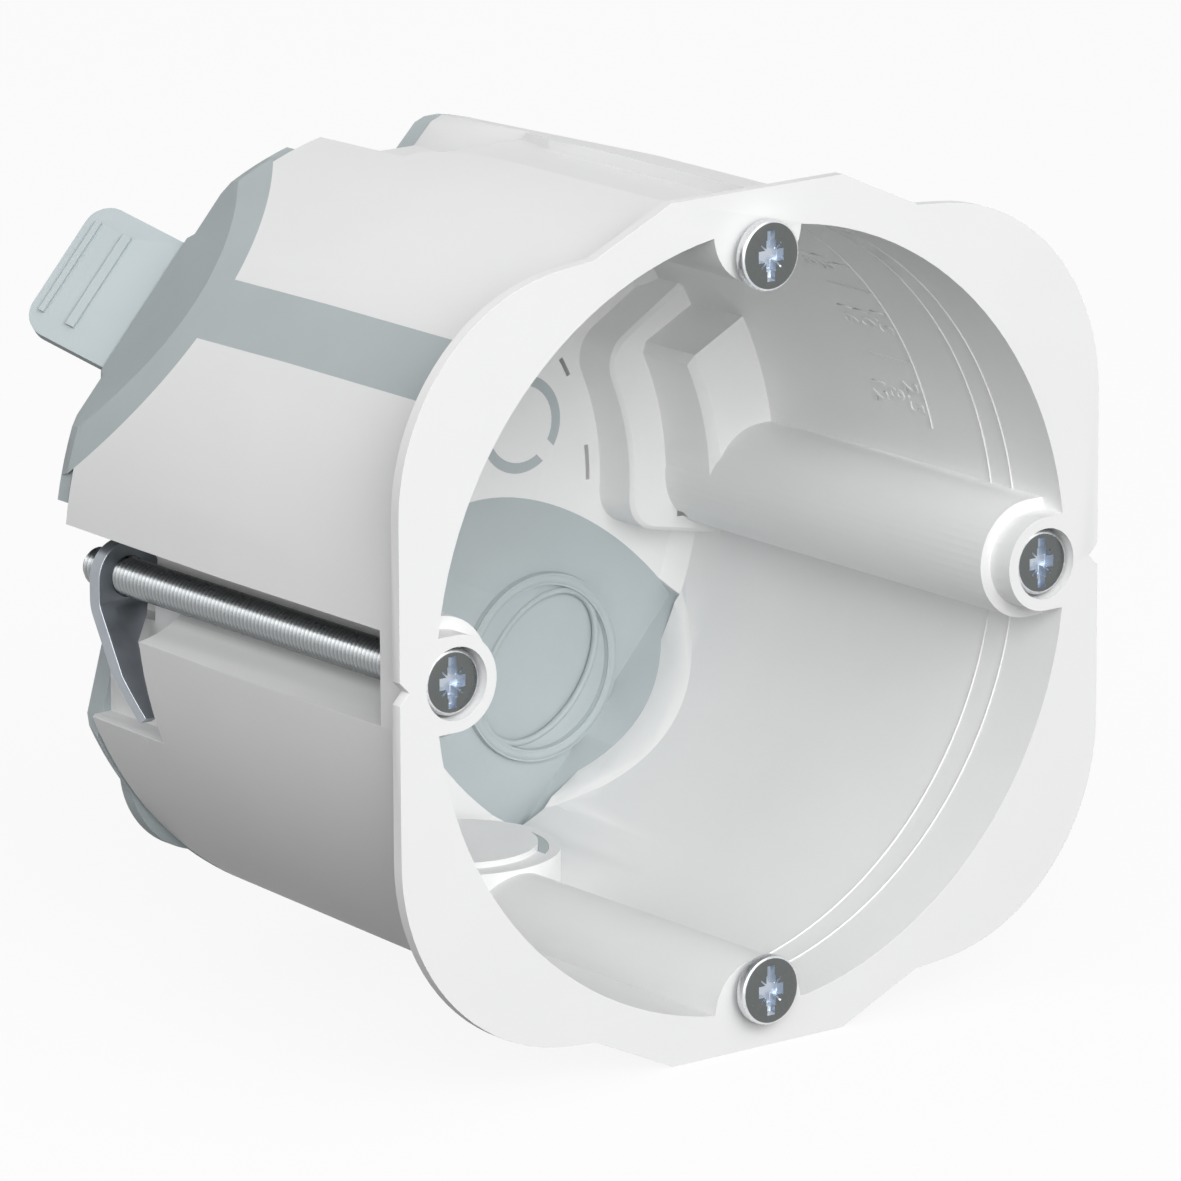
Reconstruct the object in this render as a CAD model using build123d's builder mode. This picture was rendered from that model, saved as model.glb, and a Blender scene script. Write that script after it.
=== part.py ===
from build123d import *
from math import atan2, cos, degrees, radians, sin, tan
import os

# A round back box for a hollow wall, as it sits in the wall: the mouth looks along -Y,
# +Y runs into the wall and +Z is up. The origin is on the box's axis, in the plane where
# the flange lies on the board. Everything turns into its opposite number by half a turn
# about the axis. All sizes are in millimetres.

# flange
flange_width = 71.0           # across the side flats: the pitch of boxes set side by side
flange_height = 70.2          # across the top and bottom flats
flange_thickness = 1.0
flat_share = 0.244            # length of the top and bottom flats, as a share of the width
neck_share = 0.231            # place of the hollow beside a flat, as a share of the width
neck_drop = 3.5               # how far the neck lies below the top flat
neck_round = 7.0
lobe_rise = 1.7               # the lobe's top edge falls by this much from neck to side
lobe_share = 0.25             # round of a lobe, as a share of the width
notch_size = 1.3              # side of the square notch that marks the level line

# tubular wall, in the 68 mm hole
wall_hole = 68.0
hole_clearance = 0.2          # radial
straight_depth = 25.0         # the part of the wall that sits in the board has no draft
rear_shrink = 0.75            # the wall's radius loses this much by the rear
wall_thickness = 1.8
box_depth = 48.0              # back of the rigid moulding, behind the board's face
back_thickness = 1.2
back_corner_chamfer = 1.5
rear_chamfer = 0.7

# fixing screws for the device, above and below
device_pitch = 60.0
device_screw_radius = 1.5
device_screw_length = 15.0
device_head_radius = 2.85
device_head_thickness = 0.9
device_head_stand_off = 0.75  # gap under the head, before the screw is driven home
post_radius = 4.4
post_set_out = 2.0            # the post's own centre lies this far outside the screw
thread_clearance = 0.06       # radial, for screws in their holes

# knock-outs above and below, at the end of each post
knockout_set_in = 9.4         # its centre, ahead of the back
knockout_boss_radius = 8.6
knockout_disc_radius = 6.7
knockout_boss_level = 27.2    # distance of its inner face from the box's axis
knockout_floor = 3.0
knockout_disc_rise = 0.5
knockout_seam_width = 0.9
knockout_seam_sink = 0.7
knockout_edge_margin = 0.2

# trench along the top and the bottom of the wall
trench_half_width = 4.1
trench_sink = 1.35
trench_narrow_end = 31.0
trench_wide_start = 38.0
trench_near_edge = 4.7        # the wide part's floor, to its two sides
trench_far_edge = 3.2
trench_wall_slope = 45.0
trench_round = 4.0

# clamping screws, left and right
clamp_pitch = 60.0
clamp_screw_radius = 1.6
clamp_screw_set_in = 0.4      # its end, ahead of the back
clamp_head_radius = 2.7
clamp_head_thickness = 1.6
clamp_head_sink = 0.55        # head face behind the flange's front
slot_width = 0.75
slot_length = 4.3
slot_sink = 0.3
cross_width = 0.95
cross_length = 2.8
cross_sink = 0.4           # less than half of the thinner head
head_bore_radius = 2.95
seat_gap = 0.05
tower_half_width = 4.9
tower_front_half_width = 3.9  # the tower is slimmer at the mouth
tower_front_depth = 1.4
wall_overlap = 1.0            # how far inner ribs run into the tubular wall

# open channel of each clamping screw
channel_start = 4.1
channel_half_width = 3.85
channel_floor = 27.9
channel_slope_foot = 1.3
channel_slope_middle = (30.4, 3.0)

# pocket that hides the claw
pocket_length = 11.1          # ahead of the back
pocket_far_edge = 12.65
pocket_floor = 28.2
pocket_ring_length = 6.4
pocket_ring_floor = 26.4

# stepped housing that stands round the pocket, inside the box
housing_wall = 1.1            # ahead of the pocket
housing_radius = 25.2
housing_angles = (-2.0, 27.0)
housing_step_length = 5.6     # ahead of the back
housing_step_radius = 21.6
housing_step_angles = (-11.0, 31.0)
housing_chamfer = 0.7
housing_step_round = 3.0
slit_radius = 20.1
slit_width = 0.4
slit_angles = ((-1.5, 7.0), (25.5, 30.5))

# claw
claw_thickness = 1.35
claw_set_in = 5.4             # front face of the ring on the screw, ahead of the back
claw_ring_radius = 3.0
claw_leg_length = 11.6
claw_lean = 5.0               # the tip comes forward by this much
claw_bend_level = 2.2
claw_bend_round = 2.0
claw_shoulder = (-1.2, 3.3)   # from the screw's centre
claw_waist = (0.45, 5.1)
claw_tip_inner = 0.7
claw_tip_cut = 0.8

# entries in the upper left and lower right quarters, closed by soft material
entry_angle = 138.0           # direction of the upper left entry, from +X towards +Z
entry_length = 11.9           # the slanted cut leaves the tubular wall this far ahead of the back
entry_slope = 2.53            # depth gained for each millimetre towards the axis
entry_hole_centre = 24.0      # middle of the long hole in the back wall
entry_hole_side = 1.5         # the hole lies this much to one side of the entry's direction
entry_hole_half_length = 20.5
entry_hole_half_width = 12.7
entry_rim_length = 2.3        # thickened rim ahead of the cut
entry_rim_rise = 0.4
seal_strip = 2.7              # length of soft wall behind the cut
seal_slope = 3.0              # the soft face is steeper than the cut
seal_skin = 2.0               # soft layer on the back of the box
seal_margin = 1.0             # the soft layer overlaps the hole's edge by this much
seal_collar_centre = 21.0
seal_valley_radius = 13.1     # the soft layer stops here, round the collar
seal_collar_foot = 12.4
seal_collar_top = 10.9
seal_collar_inner = 9.8
seal_collar_height = 3.1
seal_collar_wall = 2.6        # wall left under the tab, measured along the depth
seal_half_span = 32.5         # degrees to each side of the entry
seal_inner_reach = 26.0
seal_eye_centre = 21.8
seal_eye_side = 1.8
seal_ring_radius = 8.1
seal_ring_width = 1.0
seal_ring_rise = 0.45
seal_eye_half_length = 7.15
seal_eye_half_width = 5.1
seal_eye_sink = 0.35
seal_edge_radius = 32.6
seal_chamfer = 0.6
band_start = 0.5              # the wall is whole between the flange and the band
band_half_width = 2.85
band_sink = 0.8

# pull tab
tab_width = 12.4
tab_length = 8.8
tab_thickness = 1.1
tab_lean = 30.0               # degrees away from the box's axis
tab_set_in = 0.4              # the tab stands this far inside the collar's face
tab_round = 2.2
tab_root = 1.6
ridge_rise = 0.35
ridge_inset = 1.75
ridges = ((0.9, 0.5), (3.6, 0.8))  # distance from the tab's free edge, and width

# soft layer on the back, upper right and lower left
back_seal_trench_gap = 0.2
back_seal_foot = 28.9         # lower end of the edge along the trench
back_seal_bulge_radius = 8.0
back_seal_bulge_centre = 25.85
back_seal_bulge_angle = 44.3
back_seal_pocket_low = (27.6, 7.4)
back_seal_pocket_high = (29.6, 14.6)
knockout_ring_x = 13.2
knockout_ring_z = 5.3
knockout_ring_radius = 4.2
knockout_ring_width = 0.9
knockout_ring_bridge = 1.6
knockout_ring_margin = 0.6

# values that follow from the sizes above
wall_radius = wall_hole / 2 - hole_clearance
rear_radius = wall_radius - rear_shrink
inner_radius = wall_radius - wall_thickness
inner_rear_radius = rear_radius - wall_thickness
flange_flat = flat_share * flange_width
neck_x = neck_share * flange_width
lobe_round = lobe_share * flange_width
inner_depth = box_depth - back_thickness
device_z = device_pitch / 2
clamp_x = clamp_pitch / 2
rib_radius = inner_rear_radius + wall_overlap
rib_end = inner_depth + back_thickness / 2
trench_level = wall_radius - trench_sink
knockout_outer_level = knockout_boss_level + knockout_floor
knockout_boss_top = (rear_radius**2 - knockout_boss_radius**2) ** 0.5 - knockout_edge_margin
head_seat_depth = clamp_head_sink + clamp_head_thickness - flange_thickness
device_head_face = -flange_thickness - device_head_stand_off - device_head_thickness
seal_depth = box_depth + seal_skin
far = 2 * flange_width
half_turns = (0, 180)
knockout_depth = box_depth - knockout_set_in
clamp_screw_end = box_depth - clamp_screw_set_in
pocket_start = box_depth - pocket_length
pocket_ring_start = box_depth - pocket_ring_length
housing_start = pocket_start - housing_wall
housing_step_start = box_depth - housing_step_length
claw_front = box_depth - claw_set_in
channel_lip = (wall_radius**2 - channel_half_width**2) ** 0.5
entry_cut = (box_depth - entry_length, entry_slope)
soft_cut = (box_depth - entry_length + seal_strip, seal_slope)


def across(depth, turn=0):
    """Plane across the box at a depth into the wall: sketch X is X and sketch Y is Z."""
    return Plane.XZ.rotated((0, turn, 0)).offset(-depth)


def along(angle):
    """Plane through the axis: sketch X runs outwards at the angle, sketch Y into the wall."""
    turn = radians(angle)
    return Plane(origin=(0, 0, 0), x_dir=(cos(turn), 0, sin(turn)), z_dir=(-sin(turn), 0, cos(turn)))


def above(level, turn=0):
    """Plane over the axis, facing outwards: sketch X is X and sketch Y runs into the wall."""
    return Plane.XY.rotated((0, turn, 0)).offset(level)


def polar(reach, angle):
    """Point at a distance from the axis, in a direction from +X towards +Z."""
    return (reach * cos(radians(angle)), reach * sin(radians(angle)))


def outer_radius(depth):
    """Radius of the tubular wall, which has draft behind the board."""
    drafted = max(depth - straight_depth, 0) / (box_depth - straight_depth)
    return wall_radius - rear_shrink * drafted


def cut_depth(reach, cut):
    """Depth of a slanted entry cut at a distance from the axis."""
    return cut[0] + cut[1] * (wall_radius - reach)


def cut_reach(depth, cut):
    """Distance from the axis at which a slanted entry cut has reached a depth."""
    return wall_radius - (depth - cut[0]) / cut[1]


def aside(reach, side, angle):
    """Point at a distance along a direction and at a distance to its right."""
    turn = radians(angle)
    return (reach * cos(turn) + side * sin(turn), reach * sin(turn) - side * cos(turn))


def face_of(*points):
    """Adds a closed outline with straight sides to the sketch."""
    with BuildLine() as outline:
        Polyline(*points, close=True)
    return make_face(outline.edges())


def beyond_cut(cut, set_back=0.0):
    """Adds everything outside a slanted entry cut to a sketch in the plane along the entry."""
    moved = (cut[0] + set_back, cut[1])
    face_of((far, cut_depth(far, moved)), (cut_reach(far, moved), far), (far, far))


def entry_hole(angle, margin=0.0):
    """Adds the long hole of the entry in the back wall to a sketch across the box."""
    with Locations(aside(entry_hole_centre, entry_hole_side, angle)):
        Ellipse(entry_hole_half_length + margin, entry_hole_half_width + margin, rotation=angle)


def sector(inner, outer, start, end):
    """Adds a piece of a ring, between two angles, to the sketch."""
    with BuildLine() as outline:
        CenterArc((0, 0), outer, start, end - start)
        CenterArc((0, 0), inner, start, end - start)
        Line(polar(inner, start), polar(outer, start))
        Line(polar(inner, end), polar(outer, end))
    make_face(outline.edges())


def knockout_ring():
    """Adds the broken ring that weakens the back wall to the sketch."""
    with Locations((knockout_ring_x, knockout_ring_z)):
        Circle(knockout_ring_radius)
        Circle(knockout_ring_radius - knockout_ring_width, mode=Mode.SUBTRACT)
        Rectangle(far / 4, knockout_ring_bridge, rotation=-45, mode=Mode.SUBTRACT)


def knockout_seam():
    """Adds the seam round the disc of the knock-out, open where the post stands, to the sketch."""
    with Locations((0, knockout_depth)):
        Circle(knockout_disc_radius + knockout_seam_width)
        Circle(knockout_disc_radius, mode=Mode.SUBTRACT)
        Rectangle(2 * post_radius, far, align=(Align.CENTER, Align.MAX), mode=Mode.SUBTRACT)


def band():
    """Adds the section of the soft band, cut along its length, to the sketch along the entry."""
    band_end = box_depth - entry_length + seal_strip / 2
    floor = wall_radius - band_sink
    face_of(
        (floor, band_start),
        (floor, straight_depth),
        (outer_radius(band_end) - band_sink, band_end),
        (far, band_end),
        (far, band_start),
    )


# the outside of the wall and of the soft layer behind it, open towards the back
with BuildPart() as envelope:
    with BuildSketch(Plane.XY):
        face_of(
            (0, 0),
            (wall_radius, 0),
            (wall_radius, straight_depth),
            (rear_radius, box_depth),
            (seal_edge_radius, seal_depth - seal_chamfer),
            (seal_edge_radius - seal_chamfer, seal_depth),
            (seal_edge_radius - seal_chamfer, far),
            (0, far),
        )
    revolve(axis=Axis.Y)

# stepped housing round the pocket of the right claw, as it shows inside the box
with BuildPart() as housing:
    with BuildSketch(across(housing_start)):
        sector(housing_radius, rib_radius, *housing_angles)
    extrude(amount=housing_start - rib_end)
    front_edges = housing.edges().filter_by(
        lambda edge: (edge.center().X**2 + edge.center().Z**2) ** 0.5 < housing_radius + housing_chamfer
        and edge.center().Y < rib_end - housing_chamfer
    )
    chamfer(front_edges, housing_chamfer)
with BuildPart() as housing_step:
    with BuildSketch(across(housing_step_start)):
        sector(housing_step_radius, rib_radius, *housing_step_angles)
    extrude(amount=housing_step_start - rib_end)
    step_corners = housing_step.edges().filter_by(Axis.Y).sort_by(
        lambda edge: (edge.center().X**2 + edge.center().Z**2) ** 0.5
    )[:2]
    fillet(step_corners, housing_step_round)
    chamfer(housing_step.faces().sort_by(Axis.Y)[0].edges().filter_by(GeomType.CIRCLE), housing_chamfer / 2)

# thicker rim of the tubular wall ahead of the slanted cut, upper left
with BuildPart() as entry_rim:
    with BuildSketch(Plane.XY):
        face_of(
            (inner_radius - entry_rim_rise, straight_depth),
            (rib_radius, straight_depth),
            (rib_radius, inner_depth),
            (inner_rear_radius - entry_rim_rise, inner_depth),
        )
    revolve(axis=Axis.Y)
    with BuildSketch(along(entry_angle)):
        beyond_cut(entry_cut, -entry_rim_length)
    extrude(amount=far / 2, both=True, mode=Mode.INTERSECT)

with BuildPart() as box_body:
    # flange: flats on all four sides, round lobes at the corners and a hollow beside each flat
    with BuildSketch(across(-flange_thickness)):
        lobe = face_of(
            (0, 0),
            (0, flange_height / 2),
            (flange_flat / 2, flange_height / 2),
            (neck_x, flange_height / 2 - neck_drop),
            (flange_width / 2, flange_height / 2 - neck_drop - lobe_rise),
            (flange_width / 2, 0),
        )
        fillet(lobe.vertices().sort_by(SortBy.DISTANCE)[-1], lobe_round)
        neck = lobe.vertices().filter_by(lambda v: abs(v.X - neck_x) < neck_round and v.Y > neck_x)
        fillet(neck, neck_round)
        mirror(about=Plane.YZ)
        mirror(about=Plane.XZ)
        with Locations((-flange_width / 2, 0), (flange_width / 2, 0)):
            Rectangle(notch_size, notch_size, rotation=45, mode=Mode.SUBTRACT)
    extrude(amount=-flange_thickness)

    # tubular wall with its draft, closed at the back
    with BuildSketch(Plane.XY):
        face_of(
            (0, 0),
            (wall_radius, 0),
            (wall_radius, straight_depth),
            (outer_radius(box_depth - rear_chamfer), box_depth - rear_chamfer),
            (rear_radius - rear_chamfer, box_depth),
            (0, box_depth),
        )
    revolve(axis=Axis.Y)
    with BuildSketch(Plane.XY):
        cavity = face_of(
            (0, -flange_thickness),
            (inner_radius, -flange_thickness),
            (inner_radius, straight_depth),
            (inner_rear_radius, inner_depth),
            (0, inner_depth),
        )
        chamfer(cavity.vertices().sort_by(SortBy.DISTANCE)[-1], back_corner_chamfer)
    revolve(axis=Axis.Y, mode=Mode.SUBTRACT)

    # half-round posts for the device screws, ending at the knock-outs
    with BuildSketch(across(-flange_thickness)):
        with Locations((0, device_z + post_set_out), (0, -device_z - post_set_out)):
            Circle(post_radius)
        Circle(rib_radius, mode=Mode.INTERSECT)
    extrude(amount=-flange_thickness - knockout_depth)

    # towers for the clamping screws, slimmer at the mouth
    tower_steps = (
        (tower_front_half_width, -flange_thickness, tower_front_depth),
        (tower_half_width, tower_front_depth, rib_end),
    )
    for half_width, start, end in tower_steps:
        with BuildSketch(across(start)):
            with PolarLocations(clamp_x, 2):
                Circle(half_width)
                Rectangle(half_width, 2 * half_width, align=(Align.MIN, Align.CENTER))
            Circle(rib_radius, mode=Mode.INTERSECT)
        extrude(amount=start - end)

    for turn in half_turns:
        # knock-out: a boss inside the wall with a raised disc
        with BuildSketch(above(knockout_boss_level, turn)):
            with Locations((0, knockout_depth)):
                Circle(knockout_boss_radius)
        extrude(amount=knockout_boss_top - knockout_boss_level)
        with BuildSketch(above(knockout_boss_level - knockout_disc_rise, turn)):
            with Locations((0, knockout_depth)):
                Circle(knockout_disc_radius)
        extrude(amount=knockout_disc_rise)
        # housing of the pocket and the rim of the entry
        add(housing.part, rotation=(0, turn, 0))
        add(housing_step.part, rotation=(0, turn, 0))
        add(entry_rim.part, rotation=(0, turn, 0))

    for turn in half_turns:
        # trench along the wall, narrow in front and wide with slanted walls over the knock-out
        with BuildSketch(above(trench_level, turn)):
            spread = (trench_level - knockout_outer_level) * tan(radians(trench_wall_slope))
            trench = face_of(
                (-trench_half_width, 0),
                (-trench_half_width, trench_narrow_end),
                (-trench_near_edge - spread, trench_wide_start),
                (-trench_near_edge - spread, far),
                (trench_far_edge + spread, far),
                (trench_far_edge + spread, trench_wide_start),
                (trench_half_width, trench_narrow_end),
                (trench_half_width, 0),
            )
            bends = trench.vertices().filter_by(
                lambda v: trench_narrow_end - trench_round < v.Y < trench_wide_start + trench_round
            )
            fillet(bends, trench_round)
        extrude(amount=far, mode=Mode.SUBTRACT)
        with BuildSketch(above(knockout_outer_level, turn)):
            face_of(
                (-trench_near_edge, trench_wide_start),
                (-trench_near_edge, far),
                (trench_far_edge, far),
                (trench_far_edge, trench_wide_start),
            )
        extrude(amount=trench_near_edge, taper=-trench_wall_slope, mode=Mode.SUBTRACT)

        # seam round the disc of the knock-out
        with BuildSketch(above(knockout_boss_level, turn)):
            knockout_seam()
        extrude(amount=knockout_seam_sink, mode=Mode.SUBTRACT)

        # slanted cut for the entry, its long hole in the back and the bed of the soft band
        with BuildSketch(along(entry_angle + turn)):
            beyond_cut(entry_cut)
        extrude(amount=far / 2, both=True, mode=Mode.SUBTRACT)
        with BuildSketch(across(inner_depth - back_corner_chamfer)):
            entry_hole(entry_angle + turn)
        extrude(amount=-back_corner_chamfer - 2 * back_thickness, mode=Mode.SUBTRACT)
        with BuildSketch(along(entry_angle + turn)):
            band()
        extrude(amount=band_half_width, both=True, mode=Mode.SUBTRACT)

        # broken ring and slits in the back
        with BuildSketch(across(inner_depth, turn)):
            knockout_ring()
            for start, end in slit_angles:
                sector(slit_radius, slit_radius + slit_width, start, end)
        extrude(amount=-2 * back_thickness, mode=Mode.SUBTRACT)

        # open channel of the clamping screw: one straight side, one side that slopes out; the
        # wall ahead of it is flat between the channel's two lips
        with BuildSketch(across(0, turn)):
            with Locations((channel_lip, 0)):
                Rectangle(far, 2 * channel_half_width, align=(Align.MIN, Align.CENTER))
        extrude(amount=-channel_start, mode=Mode.SUBTRACT)
        with BuildSketch(across(channel_start, turn)):
            with BuildLine():
                slope_top = (channel_lip, channel_half_width)
                slope = ThreePointArc((channel_floor, channel_slope_foot), channel_slope_middle, slope_top)
                Polyline(
                    slope @ 1,
                    (far, channel_half_width),
                    (far, -channel_half_width),
                    (channel_floor, -channel_half_width),
                    slope @ 0,
                )
            make_face()
        extrude(amount=channel_start - seal_depth, mode=Mode.SUBTRACT)

        # pocket of the claw, deeper where the claw's ring turns
        with BuildSketch(across(pocket_start, turn)):
            with Locations((pocket_floor, 0)):
                Rectangle(far, pocket_far_edge, align=(Align.MIN, Align.MIN))
        extrude(amount=pocket_start - seal_depth, mode=Mode.SUBTRACT)
        with BuildSketch(across(pocket_ring_start, turn)):
            with Locations((pocket_ring_floor, 0)):
                Rectangle(far, 2 * channel_half_width, align=(Align.MIN, Align.CENTER))
        extrude(amount=pocket_ring_start - seal_depth, mode=Mode.SUBTRACT)

        # screw holes: head bore and thread of the clamping screw, thread of the device screw
        with BuildSketch(across(-flange_thickness, turn)):
            with Locations((clamp_x, 0)):
                Circle(head_bore_radius)
        extrude(amount=-flange_thickness - head_seat_depth - seat_gap, mode=Mode.SUBTRACT)
        with BuildSketch(across(0, turn)):
            with Locations((clamp_x, 0)):
                Circle(clamp_screw_radius + thread_clearance)
        extrude(amount=-2 * channel_start, mode=Mode.SUBTRACT)
        with BuildSketch(across(-flange_thickness, turn)):
            with Locations((0, device_z)):
                Circle(device_screw_radius + thread_clearance)
        extrude(amount=-flange_thickness - device_screw_length - post_set_out, mode=Mode.SUBTRACT)

# soft closure of the upper left entry, moulded onto the body
with BuildPart() as collar_hollow:
    with BuildSketch(across(box_depth)):
        with Locations(polar(seal_collar_centre, entry_angle)):
            Circle(seal_collar_inner)
    extrude(amount=-2 * seal_collar_height)
    with BuildSketch(along(entry_angle)):
        beyond_cut(soft_cut, -seal_collar_wall)
    extrude(amount=far / 2, both=True, mode=Mode.SUBTRACT)

tab_turn = radians(tab_lean)
tab_foot_depth = box_depth + seal_collar_height
tab_foot_reach = cut_reach(tab_foot_depth, soft_cut) - tab_set_in
tab_foot = along(entry_angle).from_local_coords(Vector(tab_foot_reach, tab_foot_depth, 0))
tab_normal = along(entry_angle).x_dir * cos(tab_turn) - Vector(0, sin(tab_turn), 0)
tab_plane = Plane(origin=tab_foot, x_dir=-along(entry_angle).z_dir, z_dir=tab_normal)

with BuildPart() as entry_seal:
    # soft layer on the back, round the entry
    with BuildSketch(across(box_depth)):
        sector(seal_inner_reach, seal_edge_radius, entry_angle - seal_half_span, entry_angle + seal_half_span)
        entry_hole(entry_angle, seal_margin)
        with Locations(polar(seal_collar_centre, entry_angle)):
            Circle(seal_valley_radius, mode=Mode.SUBTRACT)
    extrude(amount=-seal_skin)
    # sheet across the long hole, and a tapered collar on it
    with BuildSketch(across(inner_depth)):
        entry_hole(entry_angle)
    extrude(amount=-back_thickness)
    with BuildSketch(across(box_depth)):
        with Locations(polar(seal_collar_centre, entry_angle)):
            Circle(seal_collar_foot)
    extrude(
        amount=-seal_collar_height,
        taper=degrees(atan2(seal_collar_foot - seal_collar_top, seal_collar_height)),
    )
    add(collar_hollow.part, mode=Mode.SUBTRACT)
    # sheet on the slanted cut
    with BuildSketch(along(entry_angle)):
        edge_reach = wall_radius + seal_strip
        face_of(
            (edge_reach, cut_depth(edge_reach, entry_cut)),
            (cut_reach(seal_depth, entry_cut), seal_depth),
            (cut_reach(seal_depth, soft_cut), seal_depth),
            (edge_reach, cut_depth(edge_reach, soft_cut)),
        )
    extrude(amount=seal_edge_radius, both=True)
    with BuildSketch(along(entry_angle)):
        beyond_cut(soft_cut)
    extrude(amount=far / 2, both=True, mode=Mode.SUBTRACT)
    # band that runs forward to the flange, in its bed; all of it flush with the tubular wall
    with BuildSketch(along(entry_angle)):
        band()
    extrude(amount=band_half_width, both=True)
    add(envelope.part, mode=Mode.INTERSECT)

    # inside: a ring, and an oval eye sunk inside it
    eye = aside(seal_eye_centre, seal_eye_side, entry_angle)
    with BuildSketch(across(inner_depth)):
        with Locations(eye):
            Circle(seal_ring_radius)
            Circle(seal_ring_radius - seal_ring_width, mode=Mode.SUBTRACT)
    extrude(amount=seal_ring_rise)
    with BuildSketch(across(inner_depth)):
        with Locations(eye):
            Ellipse(seal_eye_half_length, seal_eye_half_width, rotation=entry_angle - 90)
    extrude(amount=-seal_eye_sink, mode=Mode.SUBTRACT)

    # pull tab with two raised bars
    with BuildSketch(tab_plane):
        with Locations((0, -tab_root)):
            tab = Rectangle(tab_width, tab_root + tab_length, align=(Align.CENTER, Align.MIN))
        fillet(tab.vertices().group_by(Axis.Y)[-1], tab_round)
    extrude(amount=-tab_thickness)
    with BuildSketch(tab_plane):
        for place, width in ridges:
            with Locations((0, tab_length - place - width / 2)):
                Rectangle(tab_width - 2 * ridge_inset, width)
    extrude(amount=ridge_rise)

# soft layer on the back, upper right, with plugs for the broken ring of the back
with BuildPart() as back_seal:
    with BuildSketch(across(box_depth)):
        edge_start = trench_far_edge - knockout_outer_level + back_seal_trench_gap
        ring_reach = knockout_ring_radius + knockout_ring_margin
        face_of(
            (edge_start + back_seal_foot, back_seal_foot),
            (edge_start + far, far),
            (far, far),
            (2 * back_seal_pocket_high[0], 2 * back_seal_pocket_high[1]),
            back_seal_pocket_high,
            back_seal_pocket_low,
            (knockout_ring_x + ring_reach, knockout_ring_z),
            (knockout_ring_x - ring_reach, knockout_ring_z),
        )
        with Locations((knockout_ring_x, knockout_ring_z)):
            Circle(ring_reach)
        Circle(wall_radius, mode=Mode.INTERSECT)
    extrude(amount=-seal_skin)
    add(envelope.part, mode=Mode.INTERSECT)
    bulge = polar(back_seal_bulge_centre, back_seal_bulge_angle)
    with BuildSketch(across(box_depth)):
        with Locations(bulge):
            Circle(back_seal_bulge_radius)
    extrude(amount=seal_chamfer - seal_skin)
    with BuildSketch(across(seal_depth - seal_chamfer)):
        with Locations(bulge):
            Circle(back_seal_bulge_radius)
    extrude(amount=-seal_chamfer, taper=45)
    with BuildSketch(across(inner_depth)):
        knockout_ring()
    extrude(amount=-back_thickness)

# soft ring in the seam of the upper knock-out
with BuildPart() as knockout_seal:
    with BuildSketch(above(knockout_boss_level)):
        knockout_seam()
    extrude(amount=knockout_seam_sink)

# clamping screw, right: thin flat head with a slot and a cross
with BuildPart() as clamp_screw:
    head_face = clamp_head_sink - flange_thickness
    with BuildSketch(across(head_face)):
        with Locations((clamp_x, 0)):
            Circle(clamp_head_radius)
    extrude(amount=-clamp_head_thickness)
    with BuildSketch(across(head_seat_depth)):
        with Locations((clamp_x, 0)):
            Circle(clamp_screw_radius)
    extrude(amount=head_seat_depth - clamp_screw_end)
    with BuildSketch(across(head_face)):
        with Locations((clamp_x, 0)):
            Rectangle(slot_width, slot_length)
    extrude(amount=-slot_sink, mode=Mode.SUBTRACT)
    with BuildSketch(across(head_face)):
        with Locations((clamp_x, 0)):
            Rectangle(cross_width, cross_length)
            Rectangle(cross_length, cross_width)
    extrude(amount=-cross_sink, mode=Mode.SUBTRACT)

# claw on the right clamping screw: a stamped plate, bent so that its tip comes forward
with BuildPart() as claw:
    with BuildSketch(Plane.YZ):
        with BuildLine():
            middle = claw_front + claw_thickness / 2
            spine = Polyline(
                (middle, -far),
                (middle, claw_bend_level),
                (middle - claw_lean, claw_leg_length - claw_thickness / 2),
            )
            fillet(spine.vertices().sort_by(Axis.Y)[1], claw_bend_round)
        trace(line_width=claw_thickness)
    extrude(amount=far)
    with BuildSketch(across(0)):
        with Locations((clamp_x, 0)):
            Circle(claw_ring_radius)
        face_of(
            (clamp_x + claw_ring_radius, 0),
            (clamp_x + claw_ring_radius, claw_leg_length - claw_tip_cut),
            (clamp_x + claw_ring_radius - claw_tip_cut, claw_leg_length + claw_tip_cut),
            (clamp_x + claw_tip_inner, claw_leg_length + claw_tip_cut),
            (clamp_x + claw_waist[0], claw_waist[1]),
            (clamp_x + claw_shoulder[0], claw_shoulder[1]),
            (clamp_x - claw_ring_radius, 0),
        )
        Circle(wall_radius, mode=Mode.INTERSECT)
        with Locations((clamp_x, 0)):
            Circle(clamp_screw_radius + thread_clearance, mode=Mode.SUBTRACT)
    extrude(amount=-far, mode=Mode.INTERSECT)

# device screw, upper: thin round head with a slot and a cross
with BuildPart() as device_screw:
    with BuildSketch(across(device_head_face)):
        with Locations((0, device_z)):
            Circle(device_head_radius)
    extrude(amount=-device_head_thickness)
    with BuildSketch(across(device_head_face + device_head_thickness)):
        with Locations((0, device_z)):
            Circle(device_screw_radius)
    extrude(amount=-device_screw_length)
    with BuildSketch(across(device_head_face)):
        with Locations((0, device_z)):
            Rectangle(slot_width, slot_length)
    extrude(amount=-slot_sink, mode=Mode.SUBTRACT)
    with BuildSketch(across(device_head_face)):
        with Locations((0, device_z)):
            Rectangle(cross_width, cross_length)
            Rectangle(cross_length, cross_width)
    extrude(amount=-cross_sink, mode=Mode.SUBTRACT)

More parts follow.
